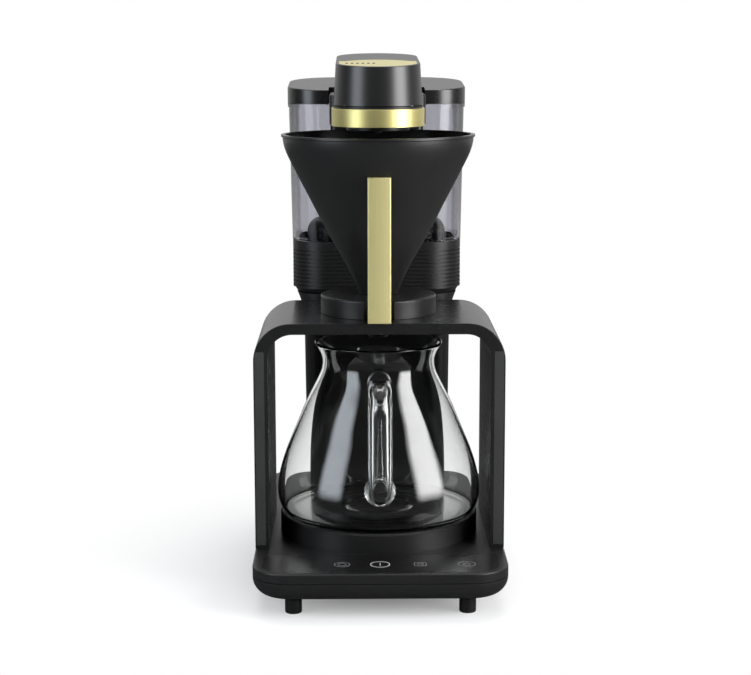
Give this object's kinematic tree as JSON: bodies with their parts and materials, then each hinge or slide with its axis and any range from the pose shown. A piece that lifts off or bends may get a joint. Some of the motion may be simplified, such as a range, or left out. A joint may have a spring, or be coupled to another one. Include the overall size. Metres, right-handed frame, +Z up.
{
  "type": "coffee brewer",
  "caption": "Pour-over coffee brewer: base with warming plate, glass carafe under an arch, filter cone, turning water outlet and lift-off water tank.",
  "frame": {"origin": "middle of the footprint, on the surface that the four feet stand on", "axes": "+Z up, -Y towards the front with the touch controls, +X to the right of someone facing the front"},
  "size_m": [0.226, 0.38, 0.486],
  "materials": {
    "satin_black": "fine satin texture",
    "gloss_black": "polished touch panel",
    "arch_coat": "satin black powder coat on cast aluminium",
    "inlay_grey": "satin paint",
    "gold_brushed": "brushed champagne gold anodising",
    "clear_glass": "clear borosilicate",
    "smoke_clear": "smoke tinted clear plastic",
    "rubber_black": "matt rubber",
    "plate_coat": "non-stick coat",
    "heater_metal": "cast",
    "bare_steel": "zinc plated",
    "board_green": "circuit board",
    "silicone_clear": "silicone hose",
    "natural_nylon": "natural nylon",
    "seal_red": "silicone seal"
  },
  "bodies": {
    "stand": {"base_tub": "satin_black", "base_feet": "rubber_black", "base_cover": "satin_black", "base_screws": "bare_steel", "control_strip": "gloss_black", "touch_board": "board_green", "power_board": "board_green", "plinth_ring": "satin_black", "warming_plate": "plate_coat", "plate_seal": "seal_red", "plate_element": "heater_metal", "thermostats": "bare_steel", "arch_frame": "arch_coat", "arch_inlays": "inlay_grey", "arch_screws": "bare_steel", "filter_guide": "satin_black", "guide_screws": "bare_steel", "spout_housing": "satin_black", "spring_retainer": "natural_nylon", "drip_spring": "bare_steel", "tower_shell": "satin_black", "tower_back": "satin_black", "housing_screws": "bare_steel", "tower_collar": "satin_black", "socket_seal": "seal_red", "flow_heater": "heater_metal", "heater_bracket": "bare_steel", "check_valve": "natural_nylon", "supply_hose": "silicone_clear", "riser_pipe": "silicone_clear", "wire_harness": "rubber_black", "cord_gland": "rubber_black", "spine_housing": "satin_black", "head_shell": "satin_black", "head_deck": "satin_black", "gold_band": "gold_brushed", "hub_bearing": "natural_nylon", "hub_seal": "seal_red", "feed_elbow": "natural_nylon", "arm_motor": "bare_steel", "scale_board": "board_green", "head_hood": "satin_black", "hood_scale": "gold_brushed"},
    "drip_stop": {"drip_valve": "natural_nylon"},
    "pourer": {"pour_disc": "satin_black", "arm_gear": "natural_nylon"},
    "pinion": {"motor_pinion": "natural_nylon"},
    "filter": {"filter_cone": "satin_black", "filter_base": "satin_black", "filter_handle": "gold_brushed", "handle_screws": "bare_steel"},
    "carafe": {"carafe_glass": "clear_glass", "carafe_handle": "clear_glass"},
    "tank": {"water_tank": "smoke_clear", "tank_dome": "satin_black", "tank_spring": "bare_steel", "lid_pin": "bare_steel"},
    "tank_poppet": {"tank_valve": "natural_nylon"},
    "lid": {"tank_lid": "satin_black"}
  },
  "joints": [
    {"name": "drip_stop_lift", "type": "slide", "parent": "stand", "child": "drip_stop", "axis": [0, 0, 1], "range_m": [0, 0.004], "stiffness_N_per_m": 60, "springref_m": -0.003, "deforming": ["drip_spring"]},
    {"name": "pour_spin", "type": "hinge", "parent": "stand", "child": "pourer", "pos_m": [0, -0.036, 0.426], "axis": [0, 0, 1], "continuous": true},
    {"name": "pinion_spin", "type": "hinge", "parent": "stand", "child": "pinion", "pos_m": [-0.018, -0.036, 0.426], "axis": [0, 0, 1], "continuous": true},
    {"name": "filter_pull", "type": "slide", "parent": "stand", "child": "filter", "axis": [0, -1, 0], "range_m": [0, 0.12]},
    {"name": "carafe_pull", "type": "slide", "parent": "stand", "child": "carafe", "axis": [0, -1, 0], "range_m": [0, 0.2]},
    {"name": "tank_lift", "type": "slide", "parent": "stand", "child": "tank", "axis": [0, 0, 1], "range_m": [0, 0.16]},
    {"name": "tank_valve_drop", "type": "slide", "parent": "tank", "child": "tank_poppet", "axis": [0, 0, 1], "range_m": [-0.004, 0], "deforming": ["tank_spring"]},
    {"name": "lid_hinge", "type": "hinge", "parent": "tank", "child": "lid", "pos_m": [0, 0.1862, 0.4402], "axis": [-1, 0, 0], "range_deg": [0, 95]}
  ],
  "couplings": [
    {"joint": "pinion_spin", "follows": "pour_spin", "ratio": -3},
    {"joint": "tank_valve_drop", "follows": "tank_lift", "ratio": -0.025}
  ]
}
